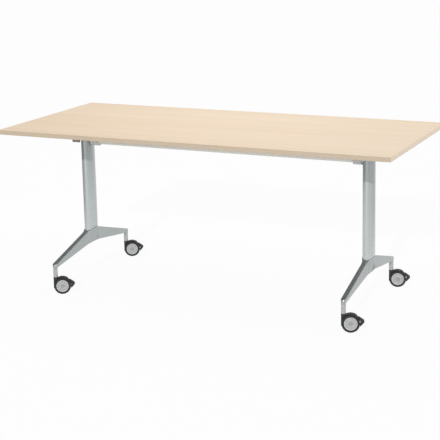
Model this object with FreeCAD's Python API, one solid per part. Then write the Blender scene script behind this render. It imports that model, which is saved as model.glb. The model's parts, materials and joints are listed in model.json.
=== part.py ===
"""Flip-top conference table: a laminate top that tilts on a crossbar between two castor T-legs.

Frame: origin on the floor under the middle of the top, +X along the length, -Y towards the
front edge, +Z up. All lengths are in millimetres and all angles in degrees.
"""
import FreeCAD, Part
import math
import os

Vector = FreeCAD.Vector

# Whole table
table_length = 1800.0
table_depth = 800.0
table_height = 750.0
leg_inset = 216.0
castor_spacing = 650.0

# Top board with its edge strips
top_thickness = 19.0
edge_strip_thickness = 2.0
edge_strip_round = 1.0

# Tilt axis, measured down from the table surface
tilt_axis_drop = 97.0

# Columns: oval extrusions with a screw channel at the front and at the back
column_width = 50.0
column_depth = 85.0
column_wall = 3.0
channel_radius = 8.0
channel_wall_overlap = 0.5
insert_clearance = 0.15
insert_depth_share = 0.52

# Column heads
head_plug_height = 80.0
head_cap_thickness = 5.0
head_cap_round = 2.0
clamp_cover = 11.0

# Feet: one casting each, two arms that fall from the column to the castors
foot_apex_height = 235.0
foot_ridge_radius = 40.0
arm_end_top_height = 140.0
arm_end_bottom_height = 120.5
foot_arch_height = 166.0
foot_arch_radius = 430.0
arm_width = 22.0
arm_end_round = 12.0
arm_end_lip = 1.0
foot_collar_width = 55.0
foot_collar_low_swell = 4.0
foot_flare_length = 72.0
foot_top_round = 4.0
foot_bottom_round = 1.5
foot_spigot_height = 40.0
foot_spigot_root = 14.0
castor_boss_height = 116.0

# Crossbar between the column heads
crossbar_diameter = 42.4
crossbar_wall = 2.6
crossbar_seat_gap = 0.1
crossbar_plug_length = 45.0
crossbar_plug_setback = 1.0

# Tilt carriers under the top, each turning on the crossbar in a plastic bush
bush_wall = 2.0
hub_wall = 5.0
hub_length = 38.0
carrier_gap = 3.0
sector_thickness = 6.0
sector_margin = 6.0
sector_web_gap = 8.0
carrier_plate_width = 64.0
carrier_plate_depth = 190.0
carrier_plate_thickness = 5.0
carrier_plate_corner = 8.0
carrier_web_top_depth = 110.0
carrier_screw_inset = 12.0

# Fasteners
thin_bolt_radius = 4.0
thick_bolt_radius = 5.0
bolt_head_radius = 6.5
bolt_head_height = 5.0
button_head_radius = 9.0
button_head_height = 4.5
button_head_round = 2.0
foot_bolt_length = 70.0
foot_bolt_recess = 14.0
head_screw_length = 26.0
head_screw_head_height = 2.4
crossbar_bolt_length = 85.0
wood_screw_radius = 2.0
wood_screw_head_radius = 4.5
wood_screw_head_height = 2.6
wood_screw_bite = 13.0
bolt_hole_clearance = 0.3
thread_clearance = 0.05
running_clearance = 0.06

# Tilt lever on the outside of the left column
lever_hub_radius = 13.0
lever_hub_length = 20.0
lever_gap = 0.4
lever_arm_thickness = 10.0
lever_reach_forward = 24.0
lever_reach_down = 43.0
lever_grip_radius = 8.0
lever_grip_length = 36.0
lever_grip_round = 3.0
lever_bush_wall = 3.0

# Castors: twin wheels on one axle behind the swivel axis, with a foot pedal
wheel_radius = 37.5
wheel_width = 12.0
tyre_depth = 10.0
tyre_round = 3.5
hub_face_step = 0.6
hub_dish_depth = 1.4
hub_rim_width = 3.0
hub_cup_radius = 10.5
hub_cup_depth = 1.2
hub_cover = 5.0
castor_trail = 29.0
axle_radius = 4.0
web_thickness = 12.4
web_wheel_gap = 0.6
web_rim_step = 1.0
web_floor_gap = 20.0
hood_thickness = 2.0
hood_gap = 0.8
hood_width = 22.0
swivel_block_drop = 14.0
swivel_block_round = 5.0
swivel_collar_radius = 10.5
swivel_collar_thickness = 3.5
swivel_collar_rise = 39.0
stem_barrel_radius = 10.0
stem_barrel_chamfer = 0.8
stem_seat_gap = 0.3
stem_stud_length = 15.0
pintle_length = 26.0
pedal_pivot_back = 24.0
pedal_pivot_drop = 5.0
pedal_pin_radius = 2.5
pedal_tongue_width = 5.6
pedal_tongue_radius = 6.5
pedal_neck_thickness = 5.0
pedal_side_gap = 0.4
pedal_slot_radius = 8.5
pedal_gap = 1.8
pedal_edge_thickness = 2.2
pedal_tip_back = 55.5
pedal_tip_rise = 3.5
pedal_tip_thickness = 3.0
pedal_width = 26.0
pedal_corner = 5.0

# Angles
hood_start_angle = 52.0
hood_end_angle = 142.0
pedal_low_angle = -17.0
pedal_high_angle = 44.0
castor_turn = {"front_left": 31.0, "back_left": 29.0, "front_right": 20.0, "back_right": 18.0}

# Shares used to tell edges and faces apart
height_match_share = 0.001
level_share = 0.3
steep_share = 0.5

# Length by which every cutting tool runs past what it cuts
overrun = 5.0

# Derived places shared by several pieces
half_spacing = table_length / 2 - leg_inset
swivel_y = castor_spacing / 2
underside_z = table_height - top_thickness
tilt_z = table_height - tilt_axis_drop
half_width = column_width / 2
half_depth = column_depth / 2
crossbar_radius = crossbar_diameter / 2
bush_bore = crossbar_radius + running_clearance
bush_radius = bush_bore + bush_wall
hub_radius = bush_radius + hub_wall
slot_half_width = thin_bolt_radius + bolt_hole_clearance
slot_radius = hub_radius + bolt_head_radius + bolt_hole_clearance
clamp_z = tilt_z + slot_radius
column_top_z = clamp_z + clamp_cover
channel_y = half_depth - column_wall - channel_radius + channel_wall_overlap
insert_half_depth = half_depth * insert_depth_share
carrier_start = half_width + carrier_gap
sector_end = carrier_start + sector_thickness
axle_z = wheel_radius
collar_top_z = axle_z + swivel_collar_rise
wheel_inner = web_thickness / 2 + web_wheel_gap
wheel_outer = wheel_inner + wheel_width
foot_bolt_seat_z = foot_arch_height + foot_bolt_recess
lever_bush_radius = thin_bolt_radius + thread_clearance + lever_bush_wall
lever_outer_x = -half_width - lever_gap - lever_hub_length
up = Vector(0, 0, 1)


def block(low, high):
    """Box between two opposite corners."""
    size = high.sub(low)
    return Part.makeBox(size.x, size.y, size.z, low)


def rod(radius, start, end):
    """Solid cylinder between two points."""
    run = end.sub(start)
    return Part.makeCylinder(radius, run.Length, start, run)


def lines(points):
    """Straight edges round a closed list of points."""
    closed = points + points[:1]
    return [Part.LineSegment(a, b).toShape() for a, b in zip(closed, closed[1:])]


def arc(start, middle, end):
    """Circular edge through three points."""
    return Part.Arc(start, middle, end).toShape()


def line(start, end):
    """Straight edge between two points."""
    return Part.LineSegment(start, end).toShape()


def prism(edges, run):
    """Solid made by pushing a closed outline along a vector."""
    return Part.Face(Part.Wire(Part.__sortEdges__(edges))).extrude(run)


def oval_prism(half_x, half_y, low_z, high_z):
    """Upright elliptical prism round the column's axis."""
    centre = Vector(0, 0, low_z)
    edge = Part.Ellipse(Vector(0, half_y, low_z), Vector(half_x, 0, low_z), centre).toShape()
    return prism([edge], Vector(0, 0, high_z - low_z))


def level_edges(shape, height):
    """Edges of a shape that lie wholly at one height."""
    near = top_thickness * height_match_share
    return [e for e in shape.Edges
            if abs(e.BoundBox.ZMin - height) < near and abs(e.BoundBox.ZMax - height) < near]


def tapered_bar(start, start_radius, end, end_radius, thickness):
    """Flat link in a plane across X, round at both ends, drawn from start towards +X."""
    run = end.sub(start)
    lean = math.asin((start_radius - end_radius) / run.Length)
    heading = math.atan2(run.z, run.y)
    points = []
    for side in (1, -1):
        angle = heading + side * (math.pi / 2 - lean)
        spoke = Vector(0, math.cos(angle), math.sin(angle))
        points.append((start.add(spoke * start_radius), end.add(spoke * end_radius)))
    forward = run * (1 / run.Length)
    edges = [line(points[0][0], points[0][1]), line(points[1][0], points[1][1]),
             arc(points[0][1], end.add(forward * end_radius), points[1][1]),
             arc(points[0][0], start.sub(forward * start_radius), points[1][0])]
    return prism(edges, Vector(thickness, 0, 0))


def bolt(head_radius, head_height, shank_radius, length, seat, direction):
    """Headed bolt: the shank runs along direction from seat and the head stands behind it."""
    head = rod(head_radius, seat.sub(direction * head_height), seat)
    shank = rod(shank_radius, seat, seat.add(direction * length))
    return head.fuse(shank)


# Top

def board():
    """Laminated board inside the edge strips, with pilot holes for the carrier screws."""
    half_x = table_length / 2 - edge_strip_thickness
    half_y = table_depth / 2 - edge_strip_thickness
    slab = block(Vector(-half_x, -half_y, underside_z), Vector(half_x, half_y, table_height))
    radius = wood_screw_radius + thread_clearance
    for x, y in carrier_screw_places():
        foot = Vector(x, y, underside_z - overrun)
        slab = slab.cut(rod(radius, foot, foot.add(up * (overrun + wood_screw_bite))))
    return slab


def edge_strip(low, high, outward):
    """Edge strip whose two outer long edges are eased."""
    strip = block(low, high)
    face = max(strip.Faces, key=lambda f: f.CenterOfMass.dot(outward))
    longest = max(e.Length for e in face.Edges)
    eased = [e for e in face.Edges if e.Length > longest / 2]
    return strip.makeFillet(min(edge_strip_round, edge_strip_thickness / 2), eased)


def edge_strips():
    """Four strips: the front and back ones run the full length, the end ones fit between."""
    half_x = table_length / 2
    half_y = table_depth / 2
    inner_x = half_x - edge_strip_thickness
    inner_y = half_y - edge_strip_thickness
    return {
        "front_edge_strip": edge_strip(Vector(-half_x, -half_y, underside_z),
                                       Vector(half_x, -inner_y, table_height), Vector(0, -1, 0)),
        "back_edge_strip": edge_strip(Vector(-half_x, inner_y, underside_z),
                                      Vector(half_x, half_y, table_height), Vector(0, 1, 0)),
        "left_edge_strip": edge_strip(Vector(-half_x, -inner_y, underside_z),
                                      Vector(-inner_x, inner_y, table_height), Vector(-1, 0, 0)),
        "right_edge_strip": edge_strip(Vector(inner_x, -inner_y, underside_z),
                                       Vector(half_x, inner_y, table_height), Vector(1, 0, 0)),
    }


# Leg pieces are drawn round the column's axis with +X pointing to the middle of the table

def at_left(shape):
    """Leg piece moved to the left leg."""
    moved = shape.copy()
    moved.translate(Vector(-half_spacing, 0, 0))
    return moved


def at_right(shape):
    """Leg piece mirrored and moved to the right leg."""
    moved = shape.mirror(Vector(0, 0, 0), Vector(1, 0, 0))
    moved.translate(Vector(half_spacing, 0, 0))
    return moved


def foot_side_prism(half_x):
    """Side outline of the foot with rounded arm ends, drawn as wide as half_x on both sides."""
    def at(y, z):
        return Vector(-half_x, y, z)
    reach = swivel_y + arm_width / 2 + arm_end_lip
    top_slope = (foot_apex_height - arm_end_top_height) / swivel_y
    low_slope = (foot_arch_height - arm_end_bottom_height) / swivel_y
    top_angle = math.atan(top_slope)
    centre_y = reach - arm_end_round
    centre_z = foot_apex_height - top_slope * centre_y - arm_end_round / math.cos(top_angle)
    top_end_y = centre_y + arm_end_round * math.sin(top_angle)
    half_turn = (math.pi / 2 - top_angle) / 2
    edges = []
    for slope, z0, radius, end_y in ((top_slope, foot_apex_height, foot_ridge_radius, top_end_y),
                                     (low_slope, foot_arch_height, foot_arch_radius, reach)):
        angle = math.atan(slope)
        tangent_y = radius * math.sin(angle)
        tangent_z = z0 - slope * tangent_y
        middle = at(0, z0 - radius * (1 / math.cos(angle) - 1))
        edges.append(arc(at(-tangent_y, tangent_z), middle, at(tangent_y, tangent_z)))
        for way in (1, -1):
            edges.append(line(at(way * tangent_y, tangent_z), at(way * end_y, z0 - slope * end_y)))
    for way in (1, -1):
        middle = at(way * (centre_y + arm_end_round * math.cos(half_turn)),
                    centre_z + arm_end_round * math.sin(half_turn))
        low_end = at(way * reach, foot_arch_height - low_slope * reach)
        edges.append(arc(at(way * top_end_y, foot_apex_height - top_slope * top_end_y), middle,
                         at(way * reach, centre_z)))
        edges.append(line(at(way * reach, centre_z), low_end))
    return prism(edges, Vector(half_x + half_x, 0, 0))


def foot_plan_wire(collar_width, z):
    """Plan outline of the foot: a collar round the column that flares into two straight arms."""
    collar = collar_width / 2
    arm = arm_width / 2
    half_flare = foot_flare_length / 2
    half_step = (collar - arm) / 2
    flare_radius = (half_flare ** 2 + half_step ** 2) / (half_step + half_step)
    quarter = half_flare / 2
    bulge = flare_radius - math.sqrt(flare_radius ** 2 - quarter ** 2)
    edges = []
    for x in (1, -1):
        edges.append(arc(Vector(x * (arm + half_step), -half_flare, z), Vector(x * collar, 0, z),
                         Vector(x * (arm + half_step), half_flare, z)))
        for y in (1, -1):
            edges.append(arc(Vector(x * (arm + half_step), y * half_flare, z),
                             Vector(x * (arm + bulge), y * (half_flare + quarter), z),
                             Vector(x * arm, y * foot_flare_length, z)))
            edges.append(line(Vector(x * arm, y * foot_flare_length, z), Vector(x * arm, y * swivel_y, z)))
    for y in (1, -1):
        edges.append(arc(Vector(arm, y * swivel_y, z), Vector(0, y * (swivel_y + arm), z),
                         Vector(-arm, y * swivel_y, z)))
    return Part.Wire(Part.__sortEdges__(edges))


def foot_plan_body():
    """Plan form of the foot: upright arm ends, and a collar that narrows towards the underside."""
    low_slope = (foot_arch_height - arm_end_bottom_height) / swivel_y
    base_z = foot_arch_height - low_slope * foot_flare_length - overrun
    narrow = foot_plan_wire(arm_width + foot_collar_low_swell, base_z)
    taper = Part.makeLoft([narrow, foot_plan_wire(foot_collar_width, foot_apex_height)], True, True)
    ends = Part.Face(narrow).extrude(Vector(0, 0, castor_boss_height - base_z))
    return taper.fuse(ends)


def column_insert(low_z, high_z):
    """Block that fills the column's bore between its two screw channels."""
    bore = oval_prism(half_width - column_wall - insert_clearance,
                      half_depth - column_wall - insert_clearance, low_z, high_z)
    limit = block(Vector(-column_width, -insert_half_depth, low_z),
                  Vector(column_width, insert_half_depth, high_z))
    return bore.common(limit)


def facing(face):
    """Outward direction at the middle of a face."""
    u0, u1, v0, v1 = face.ParameterRange
    return face.normalAt((u0 + u1) / 2, (v0 + v1) / 2)


def rim_edges(shape, way):
    """Edges where the walls of a casting meet its top, way 1, or its underside, way -1."""
    walls = [f for f in shape.Faces if abs(facing(f).z) < level_share]
    caps = [f for f in shape.Faces if facing(f).z * way > steep_share]
    return [e for c in caps for e in c.Edges if any(e.isSame(w) for f in walls for w in f.Edges)]


def foot_casting():
    """Foot casting with eased top and bottom edges, before bosses and holes."""
    body = foot_side_prism(foot_collar_width).common(foot_plan_body()).removeSplitter()
    body = body.makeFillet(foot_top_round, rim_edges(body, 1))
    return body.makeFillet(foot_bottom_round, rim_edges(body, -1))


def foot():
    """Foot with its column spigot, castor bosses and bolt holes."""
    spigot_top = foot_apex_height + foot_spigot_height
    body = foot_casting().fuse(column_insert(foot_apex_height - foot_spigot_root, spigot_top))
    stud = thick_bolt_radius + thread_clearance
    stud_depth = stem_stud_length + stem_seat_gap
    recess = bolt_head_radius + bolt_hole_clearance
    shank = thin_bolt_radius + bolt_hole_clearance
    for side in (1, -1):
        boss = Vector(0, side * swivel_y, castor_boss_height)
        body = body.fuse(rod(stem_barrel_radius, boss, boss.add(up * stem_stud_length)))
        body = body.cut(rod(stud, boss.sub(up * overrun), boss.add(up * stud_depth)))
        channel = Vector(0, side * channel_y, 0)
        body = body.cut(rod(recess, channel, channel.add(up * foot_bolt_seat_z)))
        body = body.cut(rod(shank, channel, channel.add(up * foot_apex_height)))
    return body.removeSplitter()


def column():
    """Oval extrusion whose lower end is cut to sit on the two slopes of the foot."""
    low_z = foot_arch_height
    bore = oval_prism(half_width - column_wall, half_depth - column_wall, low_z, column_top_z)
    tube = oval_prism(half_width, half_depth, low_z, column_top_z).cut(bore)
    for side in (1, -1):
        low = Vector(0, side * channel_y, low_z)
        high = Vector(0, side * channel_y, column_top_z)
        thread = thin_bolt_radius + thread_clearance
        tube = tube.fuse(rod(channel_radius, low, high)).cut(rod(thread, low, high))
    tube = tube.cut(foot_side_prism(column_width))
    for z, radius in ((tilt_z, thick_bolt_radius), (clamp_z, thin_bolt_radius)):
        tube = tube.cut(cross_hole(z, radius + bolt_hole_clearance))
    return tube.removeSplitter()


def cross_hole(height, radius):
    """Cutter for a hole right through the column along X."""
    return rod(radius, Vector(-column_width, 0, height), Vector(column_width, 0, height))


def head():
    """Column head: a plug in the column's bore under an oval cap."""
    cap_z = column_top_z + head_cap_thickness
    cap = oval_prism(half_width, half_depth, column_top_z, cap_z)
    cap = cap.makeFillet(head_cap_round, level_edges(cap, cap_z))
    body = cap.fuse(column_insert(column_top_z - head_plug_height, column_top_z))
    body = body.cut(cross_hole(tilt_z, thick_bolt_radius + bolt_hole_clearance))
    body = body.cut(cross_hole(clamp_z, thin_bolt_radius + thread_clearance))
    for side in (1, -1):
        low = Vector(0, side * channel_y, column_top_z - overrun)
        radius = thin_bolt_radius + bolt_hole_clearance
        body = body.cut(rod(radius, low, low.add(up * (overrun + overrun + head_cap_thickness))))
    return body.removeSplitter()


def head_screws():
    """Screws that hold one head down into the column's channels."""
    seat_z = column_top_z + head_cap_thickness
    return [bolt(bolt_head_radius, head_screw_head_height, thin_bolt_radius, head_screw_length,
                 Vector(0, side * channel_y, seat_z), up * -1) for side in (1, -1)]


def foot_bolts():
    """Bolts that hold one foot up against its column."""
    return [bolt(bolt_head_radius, bolt_head_height, thin_bolt_radius, foot_bolt_length,
                 Vector(0, side * channel_y, foot_bolt_seat_z), up) for side in (1, -1)]


def crossbar_bolt():
    """Button-head bolt from outside the column into the crossbar's plug."""
    seat = Vector(-half_width, 0, tilt_z)
    inward = Vector(1, 0, 0)
    body = bolt(button_head_radius, button_head_height, thick_bolt_radius, crossbar_bolt_length,
                seat, inward)
    rim = [e for e in body.Edges if e.BoundBox.XMax < -half_width - button_head_height / 2]
    return body.makeFillet(button_head_round, rim)


def crossbar():
    """Round tube from column to column, its ends hollowed to sit on the oval columns."""
    start = Vector(-half_spacing, 0, tilt_z)
    end = Vector(half_spacing, 0, tilt_z)
    tube = rod(crossbar_radius, start, end)
    tube = tube.cut(rod(crossbar_radius - crossbar_wall, start, end))
    seat = oval_prism(half_width + crossbar_seat_gap, half_depth + crossbar_seat_gap,
                      tilt_z - crossbar_diameter, tilt_z + crossbar_diameter)
    return tube.cut(at_left(seat)).cut(at_right(seat))


def crossbar_plug():
    """Threaded plug in the end of the crossbar."""
    start = Vector(half_width + crossbar_plug_setback, 0, tilt_z)
    end = start.add(Vector(crossbar_plug_length, 0, 0))
    plug = rod(crossbar_radius - crossbar_wall - thread_clearance, start, end)
    return plug.cut(rod(thick_bolt_radius + thread_clearance, start, end))


def clamp_bolt(outer_end):
    """Bolt across the head and through the carrier's slot, with its head on the slot's far side."""
    seat = Vector(sector_end + bolt_hole_clearance, 0, clamp_z)
    return bolt(bolt_head_radius, bolt_head_height, thin_bolt_radius, seat.x - outer_end,
                seat, Vector(-1, 0, 0))


# Tilt carriers

def quarter_turn_slot():
    """Curved slot round the tilt axis that lets the carrier turn through a quarter."""
    start = Vector(carrier_start - overrun, 0, tilt_z)
    end = Vector(sector_end + overrun, 0, tilt_z)
    span = slot_radius + slot_half_width
    ring = rod(span, start, end).cut(rod(slot_radius - slot_half_width, start, end))
    slot = ring.common(block(start, Vector(end.x, span, tilt_z + span)))
    for y, z in ((0, slot_radius), (slot_radius, 0)):
        offset = Vector(0, y, z)
        slot = slot.fuse(rod(slot_half_width, start.add(offset), end.add(offset)))
    return slot


def carrier_sector():
    """Slotted quarter plate of the carrier, next to the column."""
    radius = slot_radius + slot_half_width + sector_margin
    reach = slot_half_width + sector_margin
    start = Vector(carrier_start, 0, tilt_z)
    disc = rod(radius, start, Vector(sector_end, 0, tilt_z))
    keep = block(Vector(carrier_start, -reach, tilt_z - reach),
                 Vector(sector_end, radius, tilt_z + radius))
    return disc.common(keep).cut(quarter_turn_slot())


def carrier_plate():
    """Plate of the carrier against the underside of the top."""
    half_y = carrier_plate_depth / 2
    low = Vector(carrier_start, -half_y, underside_z - carrier_plate_thickness)
    plate = block(low, Vector(carrier_start + carrier_plate_width, half_y, underside_z))
    upright = [e for e in plate.Edges if e.BoundBox.ZLength > carrier_plate_thickness / 2]
    return plate.makeFillet(carrier_plate_corner, upright)


def carrier():
    """Bracket that hangs the top on the crossbar: plate, web, bored hub and slotted sector."""
    web_start = sector_end + sector_web_gap
    hub_end = carrier_start + hub_length
    plate_z = underside_z - carrier_plate_thickness
    half_top = carrier_web_top_depth / 2
    web = prism(lines([Vector(web_start, -hub_radius, tilt_z), Vector(web_start, hub_radius, tilt_z),
                       Vector(web_start, half_top, plate_z), Vector(web_start, -half_top, plate_z)]),
                Vector(hub_end - web_start, 0, 0))
    hub = rod(hub_radius, Vector(carrier_start, 0, tilt_z), Vector(hub_end, 0, tilt_z))
    body = hub.fuse(web).fuse(carrier_plate()).fuse(carrier_sector())
    body = body.cut(rod(bush_radius + thread_clearance, Vector(carrier_start - overrun, 0, tilt_z),
                        Vector(hub_end + overrun, 0, tilt_z)))
    hole = wood_screw_radius + bolt_hole_clearance
    for u, y in carrier_screw_offsets():
        low = Vector(u, y, plate_z - overrun)
        body = body.cut(rod(hole, low, low.add(up * (overrun + overrun + carrier_plate_thickness))))
    return body.removeSplitter()


def bush():
    """Plastic bush pressed into the carrier's hub."""
    start = Vector(carrier_start, 0, tilt_z)
    end = Vector(carrier_start + hub_length, 0, tilt_z)
    return rod(bush_radius, start, end).cut(rod(bush_bore, start, end))


def carrier_screw_offsets():
    """Places of one carrier's screws: distance in from the column's axis, and Y."""
    near = carrier_start + carrier_screw_inset
    far = carrier_start + carrier_plate_width - carrier_screw_inset
    side = carrier_plate_depth / 2 - carrier_screw_inset
    return [(u, y) for u in (near, far) for y in (-side, side)]


def carrier_screw_places():
    """Places of all carrier screws in the table's frame."""
    return [(way * (u - half_spacing), y) for way in (1, -1) for u, y in carrier_screw_offsets()]


def carrier_screws():
    """Wood screws through the carrier plates into the board."""
    seat_z = underside_z - carrier_plate_thickness
    return [bolt(wood_screw_head_radius, wood_screw_head_height, wood_screw_radius,
                 carrier_plate_thickness + wood_screw_bite - bolt_hole_clearance,
                 Vector(x, y, seat_z), up) for x, y in carrier_screw_places()]


# Tilt lever

def tilt_lever():
    """Hanging lever with a cross grip, threaded on the clamp bolt outside the left column."""
    hub_start = Vector(lever_outer_x, 0, clamp_z)
    grip_centre = Vector(lever_outer_x, -lever_reach_forward, clamp_z - lever_reach_down)
    arm_start = Vector((lever_hub_length - lever_arm_thickness) / 2, 0, 0)
    arm = tapered_bar(hub_start.add(arm_start), lever_hub_radius, grip_centre.add(arm_start),
                      lever_grip_radius, lever_arm_thickness)
    hub = rod(lever_hub_radius, hub_start, hub_start.add(Vector(lever_hub_length, 0, 0)))
    grip_end = grip_centre.add(Vector(lever_hub_length - lever_gap - lever_grip_round, 0, 0))
    grip = rod(lever_grip_radius, grip_end.sub(Vector(lever_grip_length, 0, 0)), grip_end)
    grip = grip.makeFillet(lever_grip_round, [e for e in grip.Edges if e.BoundBox.XLength < lever_gap])
    socket = rod(lever_bush_radius + thread_clearance, hub_start.add(Vector(lever_bush_wall, 0, 0)),
                 hub_start.add(Vector(lever_hub_length + overrun, 0, 0)))
    return arm.fuse(hub).fuse(grip).cut(socket).removeSplitter()


def lever_bush():
    """Threaded metal bush inside the lever's hub."""
    start = Vector(lever_outer_x + lever_bush_wall, 0, clamp_z)
    end = Vector(lever_outer_x + lever_hub_length, 0, clamp_z)
    return rod(lever_bush_radius, start, end).cut(rod(thin_bolt_radius + thread_clearance, start, end))


# Castor pieces are drawn round the swivel axis with +X pointing back to the wheels

def castor_stem():
    """Barrel between foot and castor, with a stud into the foot and a pintle into the castor."""
    low = Vector(0, 0, collar_top_z + stem_seat_gap)
    high = Vector(0, 0, castor_boss_height)
    barrel = rod(stem_barrel_radius, low, high)
    barrel = barrel.makeChamfer(stem_barrel_chamfer, level_edges(barrel, low.z))
    stud = rod(thick_bolt_radius, high, high.add(up * stem_stud_length))
    return barrel.fuse(stud).fuse(rod(axle_radius, low.sub(up * pintle_length), low))


def wheel_point(back, rise, side=0.0):
    """Point given by its distance behind and above the axle."""
    return Vector(castor_trail + back, side, axle_z + rise)


def wheel_disc(radius, inner, outer):
    """Disc round the axle between two distances along it."""
    return rod(radius, wheel_point(0, 0, inner), wheel_point(0, 0, outer))


def rim_point(radius, angle, side):
    """Point at a distance from the axle, at an angle above the horizontal behind it."""
    turn = math.radians(angle)
    return wheel_point(radius * math.cos(turn), radius * math.sin(turn), side)


def castor_hood():
    """Curved hood over the inner halves of the two treads, filled in between the wheels."""
    inner = wheel_radius + hood_gap
    outer = inner + hood_thickness
    half = hood_width / 2
    web_half = web_thickness / 2
    ring = wheel_disc(outer, -half, half).cut(wheel_disc(inner, -half, half))
    ring = ring.fuse(wheel_disc(outer, -web_half, web_half))
    angles = (hood_start_angle, (hood_start_angle + hood_end_angle) / 2, hood_end_angle)
    spokes = [rim_point(outer + outer, angle, -half) for angle in angles]
    wedge = prism(lines([wheel_point(0, 0, -half)] + spokes), Vector(0, hood_width, 0))
    return ring.common(wedge)


def swivel_block():
    """Front block of the housing, in line with the stem, with a collar under it."""
    half = web_thickness / 2
    reach = stem_barrel_radius
    low = Vector(-reach, -half, axle_z - swivel_block_drop)
    body = block(low, Vector(reach, half, collar_top_z))
    nose = [e for e in body.Edges if e.BoundBox.XMax < 0 and e.BoundBox.ZMax < axle_z]
    body = body.makeFillet(swivel_block_round, nose)
    collar = rod(swivel_collar_radius, Vector(0, 0, collar_top_z - swivel_collar_thickness),
                 Vector(0, 0, collar_top_z))
    return body.fuse(collar)


def pedal_pivot():
    """Middle of the pedal's cross pin."""
    return wheel_point(pedal_pivot_back, -pedal_pivot_drop)


def pedal_slot():
    """Cutter for the pedal's tongue, open at the back, and for its cross pin."""
    reach = wheel_radius + wheel_radius
    half = pedal_tongue_width / 2 + pedal_side_gap
    side = Vector(0, half, 0)
    pivot = pedal_pivot()
    eye = rod(pedal_slot_radius, pivot.sub(side), pivot.add(side))
    throat = block(pivot.sub(Vector(0, half, pedal_slot_radius)),
                   pivot.add(Vector(reach, half, pedal_slot_radius)))
    pin_side = Vector(0, web_thickness, 0)
    pin = rod(pedal_pin_radius + running_clearance, pivot.sub(pin_side), pivot.add(pin_side))
    return eye.fuse(throat).fuse(pin)


def castor_housing():
    """Web between the wheels with the swivel block, the hood, and the pedal's slot."""
    half = web_thickness / 2
    reach = wheel_radius + wheel_radius
    web = wheel_disc(wheel_radius - web_rim_step, -half, half)
    web = web.common(block(Vector(-reach, -half, web_floor_gap), Vector(reach + reach, half, reach)))
    body = web.fuse(swivel_block()).fuse(castor_hood())
    pintle = rod(axle_radius + running_clearance,
                 Vector(0, 0, collar_top_z - pintle_length - stem_seat_gap), Vector(0, 0, reach + reach))
    body = body.cut(pintle).cut(wheel_disc(axle_radius + thread_clearance, -half, half))
    return body.cut(pedal_slot()).removeSplitter()


def pedal_wedge():
    """Wedge of the pedal behind the treads, blunt at its tip."""
    half = pedal_width / 2
    inner = wheel_radius + pedal_gap
    outer = inner + pedal_edge_thickness
    tip_half = pedal_tip_thickness / 2
    ends = [rim_point(radius, angle, -half) for radius, angle in (
        (inner, pedal_low_angle), (inner, pedal_high_angle), (outer, pedal_high_angle),
        (outer, pedal_low_angle))]
    middle = rim_point(inner, (pedal_low_angle + pedal_high_angle) / 2, -half)
    tip_high = wheel_point(pedal_tip_back, pedal_tip_rise + tip_half, -half)
    tip_low = wheel_point(pedal_tip_back, pedal_tip_rise - tip_half, -half)
    edges = [arc(ends[0], middle, ends[1]), line(ends[1], ends[2]), line(ends[2], tip_high),
             line(tip_high, tip_low), line(tip_low, ends[3]), line(ends[3], ends[0])]
    wedge = prism(edges, Vector(0, pedal_width, 0))
    corners = [e for e in wedge.Edges
               if e.BoundBox.YLength < half and e.BoundBox.XMin > tip_low.x - tip_half]
    return wedge.makeFillet(pedal_corner, corners)


def castor_pedal():
    """Brake pedal: a wedge behind the treads on a tongue that turns between the wheels."""
    pivot = pedal_pivot()
    tongue_side = Vector(0, pedal_tongue_width / 2, 0)
    eye = rod(pedal_tongue_radius, pivot.sub(tongue_side), pivot.add(tongue_side))
    drop = Vector(0, 0, pedal_neck_thickness / 2)
    neck_end = wheel_point(wheel_radius + pedal_gap + pedal_edge_thickness, -pedal_pivot_drop)
    neck = block(pivot.sub(tongue_side).sub(drop), neck_end.add(tongue_side).add(drop))
    pin_side = Vector(0, web_thickness / 2, 0)
    pin = rod(pedal_pin_radius, pivot.sub(pin_side), pivot.add(pin_side))
    return pedal_wedge().fuse(neck).fuse(eye).fuse(pin).removeSplitter()


def castor_axle():
    """Axle through the web into both hubs."""
    half = wheel_outer - hub_cover - web_wheel_gap
    return wheel_disc(axle_radius, -half, half)


def castor_tyre(side):
    """Tyre of the wheel on one side, with rounded shoulders."""
    seat = wheel_radius - tyre_depth
    body = wheel_disc(wheel_radius, side * wheel_inner, side * wheel_outer)
    shoulders = [e for e in body.Edges if e.BoundBox.YLength < web_wheel_gap]
    body = body.makeFillet(tyre_round, shoulders)
    return body.cut(wheel_disc(seat, side * wheel_inner, side * wheel_outer))


def castor_hub(side):
    """Wheel centre with a dished face, a round cup in its middle and a blind bore."""
    radius = wheel_radius - tyre_depth - thread_clearance
    face = wheel_outer - hub_face_step
    body = wheel_disc(radius, side * wheel_inner, side * face)
    dish = face - hub_dish_depth
    body = body.cut(wheel_disc(radius - hub_rim_width, side * dish, side * wheel_outer))
    body = body.cut(wheel_disc(hub_cup_radius, side * (dish - hub_cup_depth), side * wheel_outer))
    bore_end = wheel_outer - hub_cover - web_wheel_gap
    return body.cut(wheel_disc(axle_radius + running_clearance, 0, side * (bore_end + web_wheel_gap / 2)))


def castor_pieces():
    """All pieces of one castor round its swivel axis, without the stem."""
    pieces = {"housing": castor_housing(), "axle": castor_axle(), "pedal": castor_pedal()}
    for name, side in (("near", -1), ("far", 1)):
        pieces[name + "_tyre"] = castor_tyre(side)
        pieces[name + "_hub"] = castor_hub(side)
    return pieces


def castor_place(corner):
    """Swivel axis of the castor at one corner, on the floor."""
    x = -half_spacing if "left" in corner else half_spacing
    y = -swivel_y if "front" in corner else swivel_y
    return Vector(x, y, 0)


# Assembly

def top_pieces():
    """Nodes that tilt with the top."""
    pieces = {"board": board(), "carrier_screws": Part.makeCompound(carrier_screws())}
    pieces.update(edge_strips())
    for name, shape in (("carrier", carrier()), ("bush", bush())):
        pieces["left_" + name] = at_left(shape)
        pieces["right_" + name] = at_right(shape)
    return pieces


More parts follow.
